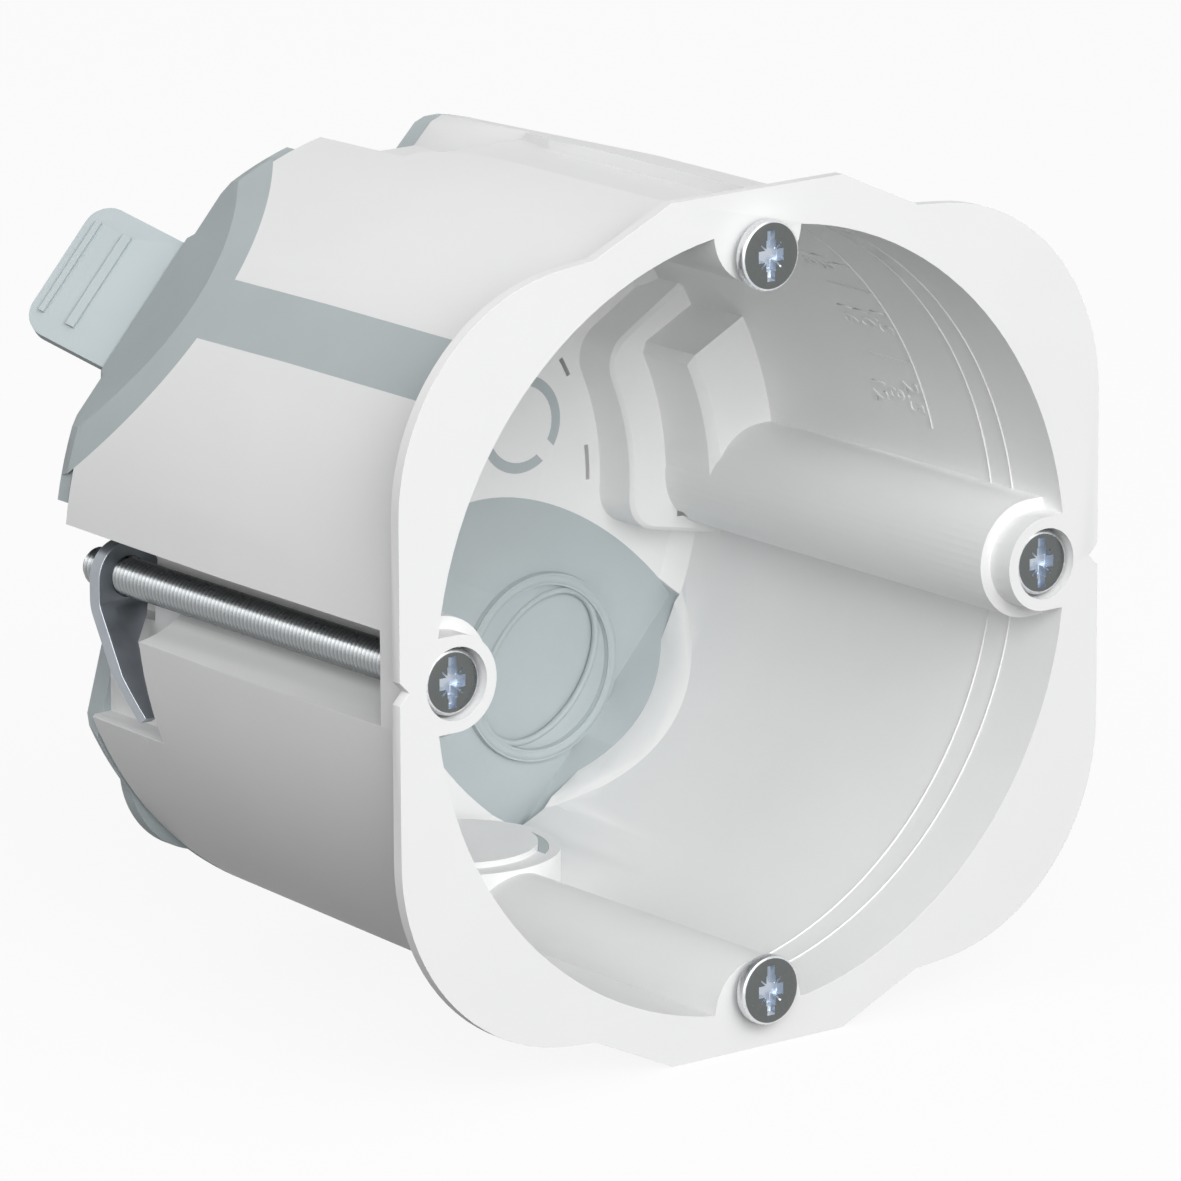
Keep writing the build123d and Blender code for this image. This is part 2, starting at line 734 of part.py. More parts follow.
# every piece in its place: the second of each pair is turned by half a turn about the axis
pieces = {
    "box_body": (box_body, 0),
    "entry_seal_upper_left": (entry_seal, 0),
    "entry_seal_lower_right": (entry_seal, 180),
    "back_seal_upper_right": (back_seal, 0),
    "back_seal_lower_left": (back_seal, 180),
    "knockout_seal_top": (knockout_seal, 0),
    "knockout_seal_bottom": (knockout_seal, 180),
    "clamp_screw_right": (clamp_screw, 0),
    "clamp_screw_left": (clamp_screw, 180),
    "claw_right": (claw, 0),
    "claw_left": (claw, 180),
    "device_screw_top": (device_screw, 0),
    "device_screw_bottom": (device_screw, 180),
}
os.makedirs("parts", exist_ok=True)
for name, (made, turn) in pieces.items():
    with BuildPart() as placed:
        add(made.part, rotation=(0, turn, 0))
    placed.part.label = name
    export_step(placed.part, f"parts/{name}.step")
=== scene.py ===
# %% [markdown]
# # A round back box for a hollow wall
#
# The box is a thin pale grey moulding with a soft grey-green material moulded into it, two
# long clamping screws with steel claws, and two short screws for the device. The solids come
# ready made and to size. This file gives them their finish: the grain of the plastic, the
# soft skins with rounded edges, the screw threads, the lights and the camera.

from collections import namedtuple
from math import cos, hypot, pi, radians, sin

import bmesh
import bpy
from mathutils import Matrix, Vector


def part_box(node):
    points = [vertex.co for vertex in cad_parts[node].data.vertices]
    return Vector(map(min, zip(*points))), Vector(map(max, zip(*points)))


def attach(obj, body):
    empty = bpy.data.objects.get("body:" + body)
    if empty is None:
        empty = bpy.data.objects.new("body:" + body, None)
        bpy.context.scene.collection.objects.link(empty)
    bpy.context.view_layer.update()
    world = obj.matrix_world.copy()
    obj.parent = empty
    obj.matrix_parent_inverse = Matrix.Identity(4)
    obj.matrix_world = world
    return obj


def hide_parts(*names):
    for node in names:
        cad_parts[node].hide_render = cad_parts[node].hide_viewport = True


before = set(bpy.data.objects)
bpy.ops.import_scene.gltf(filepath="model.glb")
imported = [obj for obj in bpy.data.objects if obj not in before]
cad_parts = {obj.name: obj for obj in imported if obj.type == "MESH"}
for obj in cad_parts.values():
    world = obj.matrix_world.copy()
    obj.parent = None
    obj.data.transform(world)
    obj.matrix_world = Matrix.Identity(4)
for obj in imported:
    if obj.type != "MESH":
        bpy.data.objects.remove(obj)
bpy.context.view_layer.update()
mm = 0.001
bpy.context.scene.view_settings.view_transform = "Standard"
print("solids:", sorted(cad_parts))

# %% [markdown]
# ## Camera
#
# The photograph is taken with a long lens from the front left and a little above. The flange
# is a known outline, so its corners give the direction, the distance and the lens.

# %% Camera
image_size = 1181
focal_pixels = 10000.0
camera_azimuth = radians(-38.02)
camera_elevation = radians(14.37)
camera_roll = radians(-0.26)
camera_distance = 791.83 * mm
frame_right = 13.27 * mm  # how far the flange's centre lies right of the picture's centre
frame_up = -2.54 * mm
flange_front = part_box("box_body")[0][1]


def camera_axes(azimuth, elevation, roll):
    """The camera's own X, Y and Z axes: right, up and back towards the viewer."""
    back = Vector((sin(azimuth) * cos(elevation), -cos(azimuth) * cos(elevation), sin(elevation)))
    right = Vector((cos(azimuth), sin(azimuth), 0))
    up = back.cross(right)
    return (
        right * cos(roll) + up * sin(roll),
        up * cos(roll) - right * sin(roll),
        back,
    )


axes = camera_axes(camera_azimuth, camera_elevation, camera_roll)
place = Vector((0, flange_front, 0)) - axes[0] * frame_right - axes[1] * frame_up
place += axes[2] * camera_distance
camera_data = bpy.data.cameras.new("camera")
camera_data.sensor_width = 36.0
camera_data.lens = focal_pixels / image_size * camera_data.sensor_width
camera_data.clip_start = 0.05
camera_data.clip_end = 20.0
camera = bpy.data.objects.new("camera", camera_data)
camera.matrix_world = Matrix.Translation(place) @ Matrix(axes).transposed().to_4x4()
bpy.context.collection.objects.link(camera)
bpy.context.scene.camera = camera
print("camera at", [round(v, 4) for v in place], "lens", round(camera_data.lens, 1))

# %% [markdown]
# ## Finishes as expressions
#
# A finish is a small graph of nodes. Written as sums and products it can be read like a
# formula. The class below wraps one socket of such a graph: each operator adds a Math node,
# and `node` adds any other kind.


# %% A finish and its values
def set_up(node, settings):
    """Gives a node its settings; the stops of a ramp are pairs of a place and a colour."""
    for name, setting in settings.items():
        if name == "stops":
            ramp = node.color_ramp
            while len(ramp.elements) < len(setting):
                ramp.elements.new(0.5)
            for element, (position, colour) in zip(ramp.elements, setting):
                element.position = position
                element.color = (*colour, 1)
        else:
            setattr(node, name, setting)


class Value:
    """One socket of a finish, which takes part in sums and products."""

    def __init__(self, tree, socket):
        self.tree = tree
        self.socket = socket

    def node(self, kind, settings=None, inputs=None, output=0):
        """Adds a node of a kind and returns one of its outputs."""
        made = self.tree.nodes.new(kind)
        set_up(made, settings or {})
        for name, given in (inputs or {}).items():
            if isinstance(given, Value):
                self.tree.links.new(given.socket, made.inputs[name])
            else:
                made.inputs[name].default_value = given
        return Value(self.tree, made.outputs[output])

    def math(self, operation, first, second):
        """Adds a Math node."""
        return self.node("ShaderNodeMath", {"operation": operation}, {0: first, 1: second})

    def __add__(self, other):
        return self.math("ADD", self, other)

    __radd__ = __add__

    def __mul__(self, other):
        return self.math("MULTIPLY", self, other)

    __rmul__ = __mul__

    def mix(self, low, high):
        """A colour between two, by this value."""
        given = {"Factor": self, "A": (*low, 1), "B": (*high, 1)}
        return self.node("ShaderNodeMix", {"data_type": "RGBA"}, given, output=2)


class Finish:
    """A material with one Principled shader, filled in from values."""

    def __init__(self, name, **constants):
        self.material = bpy.data.materials.new(name)
        self.material.use_nodes = True
        self.tree = self.material.node_tree
        self.shader = self.tree.nodes["Principled BSDF"]
        for socket, constant in constants.items():
            self.shader.inputs[socket.replace("_", " ")].default_value = constant
        place_node = self.tree.nodes.new("ShaderNodeTexCoord")
        self.place = Value(self.tree, place_node.outputs["Object"])

    def noise(self, size, detail=2.0, stretch=(1, 1, 1)):
        """Noise from 0 to 1 whose spots are about this size in metres."""
        given = {"Vector": self.place, "Scale": stretch}
        spread = self.place.node("ShaderNodeMapping", {}, given)
        given = {"Vector": spread, "Scale": 1 / size, "Detail": detail}
        return self.place.node("ShaderNodeTexNoise", {}, given)

    def drive(self, socket, value):
        """Feeds a value into the shader."""
        self.tree.links.new(value.socket, self.shader.inputs[socket])

    def bump(self, height, depth):
        """Raises the surface by a height from 0 to 1 times a depth in metres."""
        given = {"Height": height, "Distance": depth, "Strength": 1.0}
        self.drive("Normal", height.node("ShaderNodeBump", {}, given))


# %% [markdown]
# ## Moulded plastic
#
# The rigid body is a polypropylene-like plastic: nearly neutral pale grey, satin, with the
# very fine grain of a spark-eroded mould and faint clouds where it flowed. A fine noise gives
# the grain and a large one the clouds. Noise in the object's own coordinates needs no
# unwrapping and has no seams, which an image would have.


# %% Plastic of the body
def body_plastic():
    """Satin pale grey with fine grain and faint clouds."""
    finish = Finish("body plastic", Specular_IOR_Level=0.35)
    grain = finish.noise(0.25 * mm, detail=3.0)
    clouds = finish.noise(11 * mm, detail=3.0)
    finish.drive("Base Color", clouds.mix((0.775, 0.778, 0.778), (0.81, 0.813, 0.813)))
    finish.drive("Roughness", 0.42 + grain * 0.10 + clouds * 0.06)
    finish.bump(grain, 0.006 * mm)
    return finish.material


plastic = body_plastic()
print("made", plastic.name)

# %% [markdown]
# ## Soft seals
#
# The seals are a rubbery plastic: darker, grey-green and matt. Its mould grain is a little
# coarser, and its colour changes faintly in patches. It is made of the same two sorts of noise
# as the body, so that the two materials look as if they came from one mould.


# %% Soft material of the seals
def seal_rubber():
    """Matt grey-green with fine grain and faint patches."""
    finish = Finish("seal rubber", Specular_IOR_Level=0.3)
    grain = finish.noise(0.3 * mm, detail=3.0)
    patches = finish.noise(6 * mm, detail=2.0)
    finish.drive("Base Color", patches.mix((0.41, 0.458, 0.469), (0.447, 0.496, 0.508)))
    finish.drive("Roughness", 0.55 + grain * 0.12)
    finish.bump(grain, 0.008 * mm)
    return finish.material


rubber = seal_rubber()
print("made", rubber.name)

# %% [markdown]
# ## Plated steel
#
# Screws and claws are zinc plated, which is slightly blue. The claws have fine streaks from the
# press, so their roughness changes along the streaks. A screw has painted light and shade: a
# painted highlight on the rim round the head, a face painted dark as shade, bluish cuts with a
# painted highlight, and a grey thread with painted shade in its grooves. A material for each
# tone would give hard borders, so one ramp of colours serves them all.

# %% Zinc plate of the screws and claws
# painted highlight on the rim, bluish painted highlight in the cuts, plain grey thread, painted
# shade in the grooves and on the face
painted_highlight, bluish_highlight, grey, painted_shade = 0.0, 0.5, 0.75, 1.0  # tones of a screw


def claw_plate():
    """Zinc with fine streaks along one axis."""
    finish = Finish("claw zinc", Metallic=1.0)
    fine = finish.noise(0.35 * mm, detail=4.0, stretch=(1, 1, 0.15))
    spots = finish.noise(1.6 * mm, detail=2.0)
    finish.drive("Base Color", spots.mix((0.31, 0.335, 0.365), (0.40, 0.43, 0.465)))
    finish.drive("Roughness", 0.28 + fine * 0.12 + spots * 0.08)
    finish.bump(fine, 0.004 * mm)
    return finish.material


def screw_plate():
    """Zinc with painted light and shade, whose colour follows a value on the mesh through a ramp.
    """
    finish = Finish("screw zinc", Metallic=1.0)
    fine = finish.noise(0.35 * mm, detail=4.0)
    # the painted light and shade of each corner of the mesh
    tone = finish.place.node("ShaderNodeAttribute", {"attribute_name": "tone"}, output=2)
    stops = [
        (painted_highlight, (0.74, 0.75, 0.76)),
        (bluish_highlight, (0.56, 0.61, 0.68)),
        (grey, (0.33, 0.345, 0.355)),
        (painted_shade, (0.15, 0.16, 0.158)),
    ]
    finish.drive("Base Color", tone.node("ShaderNodeValToRGB", {"stops": stops}, {0: tone}))
    finish.drive("Roughness", 0.22 + fine * 0.14)
    return finish.material


screw_zinc = screw_plate()
claw_zinc = claw_plate()
print("made", screw_zinc.name, "and", claw_zinc.name)

# %% [markdown]
# ## From a mesh to a piece
#
# Every piece below ends in the same way: a mesh gets its finish, goes into the scene, rides on
# a body of the box and may take the place of solids. A few helpers do that, so that each later
# cell says only what is special about its piece.


# %% Meshes and pieces
def mesh_from(skin, name):
    """Turns a bmesh into a mesh."""
    mesh = bpy.data.meshes.new(name)
    skin.to_mesh(mesh)
    skin.free()
    return mesh


def closed_mesh(skin, name):
    """Turns a bmesh into a mesh whose faces point outwards."""
    bmesh.ops.recalc_face_normals(skin, faces=skin.faces)
    return mesh_from(skin, name)


def flat_mesh(obj):
    """The mesh of an object with its modifiers applied."""
    depsgraph = bpy.context.evaluated_depsgraph_get()
    return bpy.data.meshes.new_from_object(obj.evaluated_get(depsgraph), depsgraph=depsgraph)


def smoothed(mesh, sharp_angle):
    """Shades a mesh smooth but for edges sharper than an angle."""
    mesh.shade_smooth()
    mesh.set_sharp_from_angle(angle=radians(sharp_angle))
    return mesh


def link_piece(name, mesh, finish, body, nodes):
    """Puts a finished mesh into the scene, riding on a body, in place of any solids named."""
    mesh.name = name
    mesh.materials.clear()
    mesh.materials.append(finish)
    piece = bpy.data.objects.new(name, mesh)
    bpy.context.collection.objects.link(piece)
    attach(piece, body)
    if nodes:
        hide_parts(*nodes)
    print(name, len(mesh.polygons), "faces")


# %% [markdown]
# ## Round surfaces
#
# The tubular wall, the towers and the posts are round, but their solids have long thin facets
# that would show as streaks of light. More facets would make a heavy mesh. So the corners on
# such a surface get the normals of the cylinder or cone that they follow, and the light runs
# over them as over the real thing. The radii are those of the solids.

# %% Where the moulding is round
outer_radius = 33.8 * mm
inner_radius = 32.0 * mm
straight_depth = 25.0 * mm  # the wall has draft behind this depth
box_depth = 48.0 * mm
rear_shrink = 0.75 * mm  # what the wall's radius loses by the back
tower_x = 30.0 * mm
tower_radii = (4.9 * mm, 3.9 * mm, 2.95 * mm)  # at the back, at the mouth, and round the head
post_z = 32.0 * mm
post_radius = 4.4 * mm
surface_reach = 0.03 * mm  # a point nearer to a surface than this lies on it

# each surface: X and Z of its axis, its radius, and what the radius loses by the back
round_surfaces = [(0, 0, outer_radius, rear_shrink), (0, 0, inner_radius, rear_shrink)]
for side in (-1, 1):
    round_surfaces += [(side * tower_x, 0, radius, 0) for radius in tower_radii]
    round_surfaces.append((0, side * post_z, post_radius, 0))
print("round surfaces:", len(round_surfaces))


def on_round(spot, surface):
    """Whether a point lies on a round surface."""
    x, z, radius, loss = surface
    drafted = max(spot.y - straight_depth, 0) / (box_depth - straight_depth)
    return abs(hypot(spot.x - x, spot.z - z) - radius + loss * drafted) < surface_reach


def round_normal(spot, surface, facing):
    """The true normal of a round surface at a point, on the side that a facet faces."""
    outwards = Vector((spot.x - surface[0], 0, spot.z - surface[1])).normalized()
    side = 1 if facing.dot(outwards) > 0 else -1
    level = (1 - facing.y**2) ** 0.5
    return outwards * side * level + Vector((0, facing.y, 0))


# %% [markdown]
# ## Normals of a skin
#
# A corner of a mesh may have a normal of its own, which only the light follows. Corners on a
# round surface take its true normal, and a large flat facet keeps its own, so that the small
# rounds beside it don't smear over it. Both are changed only where a cosine says that the
# normal is near enough to the new one, or too far off.

# %% True normals
facet_match = 0.99  # a facet lies along a round surface when it turns away no further
corner_match = 0.965  # a corner takes a round surface's normal when its own is this near
corner_strays = 0.97  # a corner of a large facet is reset when it is no nearer than this
large_facet = 0.5 * mm**2


def evened(mesh):
    """Gives round surfaces their true normals and large facets their own."""
    corners = [corner.vector.copy() for corner in mesh.corner_normals]
    true = {}
    for polygon in mesh.polygons:
        spots = {k: mesh.vertices[k].co for k in polygon.vertices}
        facing = polygon.normal
        for surface in round_surfaces:
            if not all(on_round(spot, surface) for spot in spots.values()):
                continue
            if round_normal(polygon.center, surface, facing).dot(facing) < facet_match:
                continue
            for k, spot in spots.items():
                true.setdefault(k, []).append(round_normal(spot, surface, facing))
    for k, loop in enumerate(mesh.loops):
        for normal in true.get(loop.vertex_index, []):
            if corners[k].dot(normal) > corner_match:
                corners[k] = normal
    for polygon in mesh.polygons:
        if polygon.area < large_facet:
            continue
        for k in polygon.loop_indices:
            if corners[k].dot(polygon.normal) < corner_strays:
                corners[k] = polygon.normal.copy()
    mesh.normals_split_custom_set(corners)
    return mesh


# %% [markdown]
# ## Skins with rounded edges
#
# A moulded edge is never sharp: it has a small round that catches the light. The solids come as
# loose triangles, so a copy of each is welded and its flat triangles are joined into whole
# faces. A Bevel modifier then rounds the sharp edges, and its hardened normals keep the large
# faces flat in the light. This is chosen over modelling each piece again because the solids
# already have the true size.

# %% A welded and rounded copy of a solid
weld_distance = 0.002 * mm
flat_angle = 0.5  # degrees: triangles that differ by less are one face
crease_angle = 30  # degrees: a sharper edge stays a crease in the light
round_angle = 32  # degrees: a sharper edge gets a round


def welded(node):
    """A copy of a solid's mesh with its triangles joined into whole faces."""
    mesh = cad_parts[node].data.copy()
    skin = bmesh.new()
    skin.from_mesh(mesh)
    bmesh.ops.remove_doubles(skin, verts=skin.verts, dist=weld_distance)
    bmesh.ops.dissolve_limit(
        skin, angle_limit=radians(flat_angle), verts=skin.verts, edges=skin.edges
    )
    skin.to_mesh(mesh)
    skin.free()
    return mesh


def rounded(node, width, segments=2):
    """A copy of a solid whose sharp edges have a round of this width."""
    work = bpy.data.objects.new("work", smoothed(welded(node), crease_angle))
    bpy.context.collection.objects.link(work)
    edge = work.modifiers.new("round", "BEVEL")
    edge.width = width
    edge.segments = segments
    edge.limit_method = "ANGLE"
    edge.angle_limit = radians(round_angle)
    edge.miter_outer = "MITER_ARC"
    edge.harden_normals = True
    mesh = evened(flat_mesh(work))
    bpy.data.objects.remove(work)
    return mesh


# %% [markdown]
# ## Body and seals
#
# The rigid body has crisp edges with a hairline round. The seals are softer, and so are their
# edges, but for the thin arcs round the knock-outs. All of them are skins of their solids.

# %% Body and seals
body_edge = 0.10 * mm
seal_edge = 0.22 * mm
knockout_edge = 0.12 * mm
skin = rounded("box_body", body_edge)
link_piece("rigid_body", skin, plastic, "box", ["box_body"])
for node in sorted(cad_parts):
    if "_seal" in node:
        skin = rounded(node, knockout_edge if node.startswith("knockout") else seal_edge)
        link_piece("soft_" + node, skin, rubber, "box", [node])

# %% [markdown]
# ## Rims of the entry seals
#
# The ring and the oval eye on the inside of each entry seal have rolled rims. Each rim is a
# tube round an oval, half sunk in the sheet. An oval and a tube are both short formulas, so
# the tube is made point by point, with no curve in between.

# %% Rims of the entry seals
inner_depth = 46.8 * mm  # the inner face of the box's back
eye_turn = radians(48)
eye_centre = (15.0 * mm, -15.92 * mm)  # X and Z, at the lower right
ring_size = (7.6 * mm, 7.6 * mm)  # half of its length and half of its width
ring_rim = 0.58 * mm
eye_size = (7.1 * mm, 5.05 * mm)
eye_rim = 0.3 * mm
eye_set_back = 0.05 * mm
rim_steps = 120  # round the oval
rim_sides = 12  # round the tube


def oval_rim(skin, centre, sizes, turn, depth, thickness):
    """Adds a tube round an oval that lies across the box."""
    rings = []
    for k in range(rim_steps):
        t = 2 * pi * k / rim_steps
        ring = []
        for j in range(rim_sides):
            u = 2 * pi * j / rim_sides
            x = (sizes[0] + thickness * cos(u)) * cos(t)
            z = (sizes[1] + thickness * cos(u)) * sin(t)
            spot = (x * cos(turn) - z * sin(turn), x * sin(turn) + z * cos(turn))
            spot = (centre[0] + spot[0], depth + thickness * sin(u), centre[1] + spot[1])
            ring.append(skin.verts.new(spot))
        rings.append(ring)
    for k in range(rim_steps):
        first, second = rings[k], rings[(k + 1) % rim_steps]
        for j in range(rim_sides):
            i = (j + 1) % rim_sides
            skin.faces.new((first[j], first[i], second[i], second[j]))


for name, side in (("upper_left", -1), ("lower_right", 1)):
    centre = (side * eye_centre[0], side * eye_centre[1])
    skin = bmesh.new()
    oval_rim(skin, centre, ring_size, eye_turn, inner_depth, ring_rim)
    oval_rim(skin, centre, eye_size, eye_turn, inner_depth + eye_set_back, eye_rim)
    mesh = closed_mesh(skin, "rim")
    mesh.shade_smooth()
    link_piece("seal_rims_" + name, mesh, rubber, "box", [])

# %% [markdown]
# ## Claws
#
# A claw is stamped from 1.35 mm steel and bent. The press leaves a rolled edge on one side, and
# a small round on all edges stands for it. It could be bent from a flat sheet here too, but its
# solid already has the bend, so it gets a skin as the body does, with a finer round.

# %% Claws
claw_edge = 0.14 * mm
for side in ("left", "right"):
    node = "claw_" + side
    skin = rounded(node, claw_edge, segments=3)
    link_piece("steel_" + node, skin, claw_zinc, node, [node])

# %% [markdown]
# ## Screw threads
#
# A thread repeats the same turn dozens of times, which is a task for Geometry Nodes: a spiral
# curve carries a small diamond section, whose outer corner is the crest and whose inner half
# lies in the core. The turns touch each other, so the diamonds leave a V-shaped groove. The
# sizes are inputs of the node group, so one group serves the long and the short screws.

# %% Node group of a thread
section_share = 0.54  # from the middle of the diamond to its corners, as a share of the pitch
turn_steps = 24


def thread_group(finish):
    """The node group that joins a thread to a screw's head and core."""
    tree = bpy.data.node_groups.new("screw thread", "GeometryNodeTree")
    sockets = (
        ("Head", "NodeSocketGeometry"),
        ("Crest Radius", "NodeSocketFloat"),
        ("Pitch", "NodeSocketFloat"),
        ("Turns", "NodeSocketFloat"),
        ("Place", "NodeSocketVector"),
    )
    for name, kind in sockets:
        tree.interface.new_socket(name, in_out="INPUT", socket_type=kind)
    tree.interface.new_socket("Screw", in_out="OUTPUT", socket_type="NodeSocketGeometry")

    def feed(socket, value):
        """Gives a socket a link or a plain value."""
        if isinstance(value, bpy.types.NodeSocket):
            tree.links.new(value, socket)
        else:
            socket.default_value = value

    def add(kind, settings=None, **inputs):
        """Adds a node; an input is named with _ for each space."""
        node = tree.nodes.new(kind)
        set_up(node, settings or {})
        for name, value in inputs.items():
            feed(node.inputs[name.replace("_", " ")], value)
        return node

    def maths(operation, first, second):
        """Adds a Math node and returns its result."""
        node = add("ShaderNodeMath", {"operation": operation})
        feed(node.inputs[0], first)
        feed(node.inputs[1], second)
        return node.outputs[0]

    given = tree.nodes.new("NodeGroupInput").outputs
    section = maths("MULTIPLY", given["Pitch"], section_share)
    reach = maths("SUBTRACT", given["Crest Radius"], section)
    height = maths("MULTIPLY", given["Pitch"], given["Turns"])
    spiral = add(
        "GeometryNodeCurveSpiral",
        Resolution=turn_steps,
        Rotations=given["Turns"],
        Start_Radius=reach,
        End_Radius=reach,
        Height=height,
        Reverse=True,
    )
    upright = add("GeometryNodeSetCurveNormal", {"mode": "Z_UP"}, Curve=spiral.outputs[0])
    diamond = add(
        "GeometryNodeCurvePrimitiveCircle", {"mode": "RADIUS"}, Resolution=4, Radius=section
    )
    swept = add(
        "GeometryNodeCurveToMesh",
        Curve=upright.outputs[0],
        Profile_Curve=diamond.outputs[0],
        Fill_Caps=True,
    )
    laid = add(
        "GeometryNodeTransform",
        Geometry=swept.outputs[0],
        Translation=given["Place"],
        Rotation=(-pi / 2, 0, 0),
    )
    joined = add("GeometryNodeJoinGeometry")
    tree.links.new(laid.outputs[0], joined.inputs[0])
    tree.links.new(given["Head"], joined.inputs[0])
    real = add("GeometryNodeRealizeInstances", Geometry=joined.outputs[0])
    coated = add("GeometryNodeSetMaterial", Geometry=real.outputs[0], Material=finish)
    tree.links.new(coated.outputs[0], tree.nodes.new("NodeGroupOutput").inputs[0])
    return tree


thread = thread_group(screw_zinc)
print("thread group has", len(thread.nodes), "nodes")

# %% [markdown]
# ## Screw heads and cores
#
# On a real screw the head and the core are turned, so a profile is spun about the screw's axis
# here too: pairs of a radius and a depth, from the middle of the face to the middle of the tip.
# Its sizes are the solid's own, and the core is as thick as the thread's grooves leave it.

# %% Head and core of a screw
ScrewSize = namedtuple("ScrewSize", "head_radius head_thickness shank_radius drive_depth rim")
clamp_screw_size = ScrewSize(2.7 * mm, 1.6 * mm, 1.6 * mm, 0.9 * mm, 0.3 * mm)
device_screw_size = ScrewSize(2.85 * mm, 0.9 * mm, 1.5 * mm, 0.7 * mm, 0.2 * mm)
thread_pitch = 0.5 * mm
groove_depth = section_share * thread_pitch
rim_middle = 0.3  # the rim bulges: its middle is this share of it from the side and the face
head_back_edge = 0.08 * mm
tip_chamfer = 0.4 * mm
turned_sides = 64


def turned(profile, centre):
    """A closed turned solid: pairs of radius and depth, spun about an axis along Y."""
    skin = bmesh.new()
    rings = []
    for radius, depth in profile:
        if radius == 0:
            rings.append([skin.verts.new((centre[0], depth, centre[1]))])
            continue
        turns = [2 * pi * k / turned_sides for k in range(turned_sides)]
        ring = [(centre[0] + radius * cos(t), depth, centre[1] + radius * sin(t)) for t in turns]
        rings.append([skin.verts.new(place) for place in ring])
    for first, second in zip(rings, rings[1:]):
        for k in range(turned_sides):
            corners = [first[k % len(first)], first[(k + 1) % len(first)]]
            corners += [second[(k + 1) % len(second)], second[k % len(second)]]
            skin.faces.new(list(dict.fromkeys(corners)))
    return closed_mesh(skin, "turned")


def head_and_core(size, face, tip, centre):
    """A screw without its drive and thread, from the face of its head to its tip."""
    core = size.shank_radius - groove_depth
    back = face + size.head_thickness
    profile = [
        (0, face),
        (size.head_radius - size.rim, face),
        (size.head_radius - rim_middle * size.rim, face + rim_middle * size.rim),
        (size.head_radius, face + size.rim),
        (size.head_radius, back - head_back_edge),
        (size.head_radius - head_back_edge, back),
        (core, back),
        (core, tip - tip_chamfer),
        (core - tip_chamfer, tip),
        (0, tip),
    ]
    return turned(profile, centre)


# %% [markdown]
# ## Drive of a screw
#
# The drive is a long slot, a cross, and four short diagonal cuts. A press sinks it with one
# punch, and so does this cell: tapered bars are joined into one cutter, which a Boolean
# modifier later takes out of the head.

# %% Cutter for the drive
cutter_taper = 0.86  # size of a bar's floor, as a share of its mouth
cutter_rise = 0.3 * mm  # how far a bar stands out of the head
# each bar: width, length, turn in degrees, and depth as a share of the whole drive's
drive_bars = (
    (0.80 * mm, 4.30 * mm, 0, 0.75),
    (1.00 * mm, 2.60 * mm, 0, 1.0),
    (1.00 * mm, 2.60 * mm, 90, 1.0),
    (0.16 * mm, 3.00 * mm, 45, 0.35),
    (0.16 * mm, 3.00 * mm, -45, 0.35),
)


def drive_cutter(face, centre, drive_depth):
    """Bars that cut the slot, the cross and the four ticks of a head."""
    skin = bmesh.new()
    for width, length, turn, share in drive_bars:
        bar = bmesh.ops.create_cube(skin, size=1)["verts"]
        for corner in bar:
            deep = corner.co.y > 0
            taper = cutter_taper if deep else 1.0
            corner.co.x *= width * taper
            corner.co.z *= length * taper
            corner.co.y = face + (share * drive_depth if deep else -cutter_rise)
        spin = Matrix.Rotation(radians(turn), 4, "Y")
        bmesh.ops.transform(skin, matrix=spin, verts=bar)
        bmesh.ops.translate(skin, vec=(centre[0], 0, centre[1]), verts=bar)
    return mesh_from(skin, "drive")


# %% [markdown]
# ## Painted light and shade of a screw
#
# A plated screw isn't one grey: light reaches its rim and misses its grooves. The finish could
# find out by rays, but here each corner of the mesh carries painted light and shade, worked out
# from its distance to the axis and its depth.

# %% Painted light and shade of each corner
face_reach = 0.02 * mm  # what is no deeper than this is the face of the head


def with_painted_light(mesh, size, face, centre):
    """Writes the painted light and shade that the finish of the screws reads."""
    tone = mesh.attributes.new("tone", "FLOAT", "CORNER")
    for polygon in mesh.polygons:
        depth = polygon.center.y - face
        for corner in polygon.loop_indices:
            spot = mesh.vertices[mesh.loops[corner].vertex_index].co
            radius = hypot(spot.x - centre[0], spot.z - centre[1])
            # painted shade in the thread's grooves, deeper is darker; painted shade on the face;
            # a bluish painted highlight in the cuts; a painted highlight on the rim
            if depth > size.head_thickness:
                groove = (size.shank_radius - radius) / groove_depth
                value = grey + (painted_shade - grey) * min(max(groove, 0.0), 1.0)
            elif depth < face_reach:
                value = painted_shade
            elif radius < size.head_radius - size.rim:
                value = bluish_highlight
            else:
                value = painted_highlight
            tone.data[corner].value = value
    return mesh


# %% [markdown]
# ## Screws
#
# Two long screws carry the claws and two short ones hold the device. Each is put together from
# the parts above by three modifiers, in the order of the work: the cut of the drive, a fine
# round on the edges, and the thread. The place and the length come from the solid.

# %% Screws
cut_edge = 0.04 * mm
cut_edge_angle = 40  # degrees: a sharper edge gets the fine round
screw_crease_angle = 35
thread_behind_head = 0.35 * mm
thread_before_tip = 0.45 * mm


